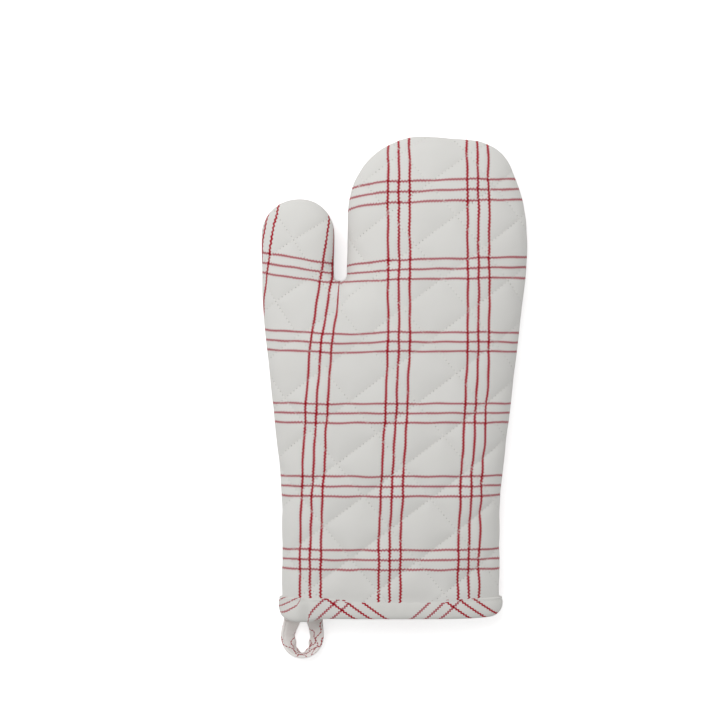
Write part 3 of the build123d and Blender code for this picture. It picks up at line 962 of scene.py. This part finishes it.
# Section of the strap: a flat oval with a groove where the stitching holds its lip, ruffled at the inner edge
section_count, across_power, face_power = 36, 0.45, 0.6
lip_inset, lip_groove, lip_half = 1.7 * mm, 0.35, 0.55 * mm
angle = 2 * pi * np.arange(section_count) / section_count
section_across = strap_width / 2 * np.sign(np.cos(angle)) * np.abs(np.cos(angle)) ** across_power
section_face = strap_thickness / 2 * np.sign(np.sin(angle)) * np.abs(np.sin(angle)) ** face_power
lip_gap = (section_across - strap_width / 2 + lip_inset) / lip_half
section_face *= 1 - lip_groove * np.exp(-(lip_gap**2))
strap_section = np.column_stack((section_across, section_face))
section_round = run_along(np.concatenate((strap_section, strap_section[:1])))
strap_run = run_along(strap_line)
ruffle = ruffle_height * np.sin(2 * pi * strap_run / ruffle_length)[:, None]
ruffle *= eased((ruffle_start - strap_line[:, 1:2]) / ruffle_ramp)
inner_edge = np.clip(-section_across / (strap_width / 2), 0, 1) ** 2
strap_out = section_face + ruffle * inner_edge
strap_wide = section_across - (ruffle_width + ruffle_share * ruffle) * inner_edge
strap_points = strap_line[:, None] + strap_across[:, None] * strap_wide[:, :, None]
strap_points = (strap_points + strap_face[:, None] * strap_out[:, :, None]).reshape(-1, 3)
ring, step = grid_corners(len(strap_line) - 1, section_count)
strap_faces = (ring * section_count + step % section_count).tolist()
end_points = np.arange(section_count)
strap_caps = [end_points[::-1].tolist(), (end_points + len(strap_points) - section_count).tolist()]

# Bias: both sets of lines cross the strap aslant and waver with its ruffles, and are thinner by the fold
strap_share, strap_slopes, line_wave = 0.62, (0.45, 0.55), 1.2 * mm
warp_start, weft_start = 15.5 * mm, 62.5 * mm
along_strap = strap_run[ring].ravel()
across_strap = section_round[step].ravel() - section_round[section_count // 2]
across_strap += line_wave * np.sin(2 * pi * along_strap / ruffle_length)
warp_place = along_strap - warp_start - across_strap / strap_slopes[0]
weft_place = along_strap - weft_start + across_strap / strap_slopes[1]
strap_bias = strap_share * np.stack((warp_place, weft_place), axis=1)
strap_bias += (warp_lines["origin"] - warp_lines["gap"], weft_lines["origin"] + weft_lines["gap"])
strap_maps = {"cloth": np.concatenate((strap_bias, np.zeros((2 * section_count, 2))))}
strap_faces += strap_caps
strap = new_piece("hanging_strap", strap_points, strap_faces, strap_maps, finer=True, closed=True)
# Strap cotton: its ground is painted lighter than the panel's to offset the cuff's shadow on the loop, and is
# warmer as the cloth's pale wrong side; its lines are drawn thinner
strap_cotton_painted_lighter = woven_cotton("strap cotton painted lighter", ("#ebe6e2", "#f1edea"), line_share=0.65)
fitted(strap, strap_cotton_painted_lighter, "hanging_loop", body=None)
blend_start_y, blend_end_y = -149.5 * mm, -154 * mm
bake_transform(strap)

# Strap edge stitch
# White lockstitch along the strap, close to its upper edge, that holds its folds shut on both faces.
edge_half_thickness, edge_stitch_shares = 0.85 * mm, (0.14, 0.86)
edge_run = np.arange(strap_run[0], strap_run[-1] - binding_pitch, binding_pitch)
edge_rows = []
for face in (1, -1):
    pair = []
    for share in edge_stitch_shares:
        line, across, out = (
            at_run(edge_run + share * binding_pitch, strap_run, columns)
            for columns in (strap_line, strap_across, strap_face)
        )
        pair.append(line + across * (strap_width / 2 - lip_inset) + out * (face * edge_half_thickness))
    swinging = np.maximum(pair[0][:, 1], pair[1][:, 1]) < blend_end_y
    edge_rows.append((pair[0][swinging], pair[1][swinging], face * out[swinging]))
edge_stitches = new_piece("strap_edge_stitches", *stitch_rods(edge_rows, stitch_radius))
fitted(edge_stitches, thread, "loop_edge_stitch", body="loop")

# Bar tacks
# Close zigzag of white thread across each end of the strap, through the strap and the cuff edge.
tack_width, tack_height, tack_z, tack_count = 7 * mm, 1.6 * mm, 5 * mm, 15
tack_radius, tack_proud = 0.25 * mm, 0.05 * mm
tack_y = wall_y - strap_thickness / 2 - tack_proud
tack_out = np.tile((0.0, -1.0, 0.0), (tack_count, 1))
tack_rows = []
for middle_x in loop_middle[0] + (loop_half_width - root_pull) * (-1, 1):
    x = middle_x + tack_width * np.linspace(-0.5, 0.5, tack_count + 1)
    z = tack_z + tack_height * (np.arange(tack_count + 1) % 2 - 0.5)
    zigzag = np.column_stack((x, np.full_like(x, tack_y), z))
    tack_rows.append((zigzag[:-1], zigzag[1:], tack_out))
tacks = new_piece("strap_bar_tacks", *stitch_rods(tack_rows, tack_radius))
fitted(tacks, thread, "loop_bartack")

# Floor, light and camera
# The mitt lies on a white table under soft studio light from the upper left, seen from straight above.
half_floor = 4.0
floor_corners = half_floor * np.array([(-1, -1, 0), (1, -1, 0), (1, 1, 0), (-1, 1, 0)])
table_finish = {"Base Color": linear("#f4f4f4"), "Roughness": 0.9, "Emission Color": (0.5, 0.5, 0.5, 1)}


def seen_plainly(make):
    """1 for rays straight from the camera, off a mirror or through glass, and 0 for those that only light."""
    rays = make("LightPath").outputs
    mirrored = make("MAXIMUM", rays["Is Camera Ray"], rays["Is Glossy Ray"])
    return make("MAXIMUM", mirrored, rays["Is Transmission Ray"])


floor = new_piece("floor", floor_corners, [(0, 1, 2, 3)])
white, white_node, white_sockets = new_material("white table", table_finish)
plug(white_sockets["Emission Strength"], seen_plainly(white_node))
floor.data.materials.append(white)

light_level, shown_level = 0.53, 1.0
world = bpy.data.worlds.new("studio")
bpy.context.scene.world = world
world.use_nodes = True
sky_node = partial(node, world.node_tree)
sky = world.node_tree.nodes["Background"].inputs
plug(sky["Color"], (1, 1, 1, 1))
plug(sky["Strength"], sky_node("MapRange", seen_plainly(sky_node), 0.0, 1.0, light_level, shown_level))

lamp_place, lamp_size, lamp_power = Vector((-0.45, 0.75, 1.3)), 1.2, 13.5
lamp = bpy.data.objects.new("key", bpy.data.lights.new("key", "AREA"))
lamp.data.size, lamp.data.energy = lamp_size, lamp_power
lamp.location = lamp_place
lamp.rotation_euler = (-lamp_place).to_track_quat("-Z", "Y").to_euler()
bpy.context.scene.collection.objects.link(lamp)

view_width, view_centre, view_distance, sensor_width = 0.477, (-0.0232, 0.0246), 1.4, 36
camera = bpy.data.objects.new("camera", bpy.data.cameras.new("camera"))
camera.data.sensor_width = sensor_width
camera.data.lens = sensor_width * view_distance / view_width
camera.location = (*view_centre, seam_height + view_distance)
bpy.context.scene.collection.objects.link(camera)
bpy.context.scene.camera = camera
bpy.context.scene.view_settings.view_transform = "Standard"
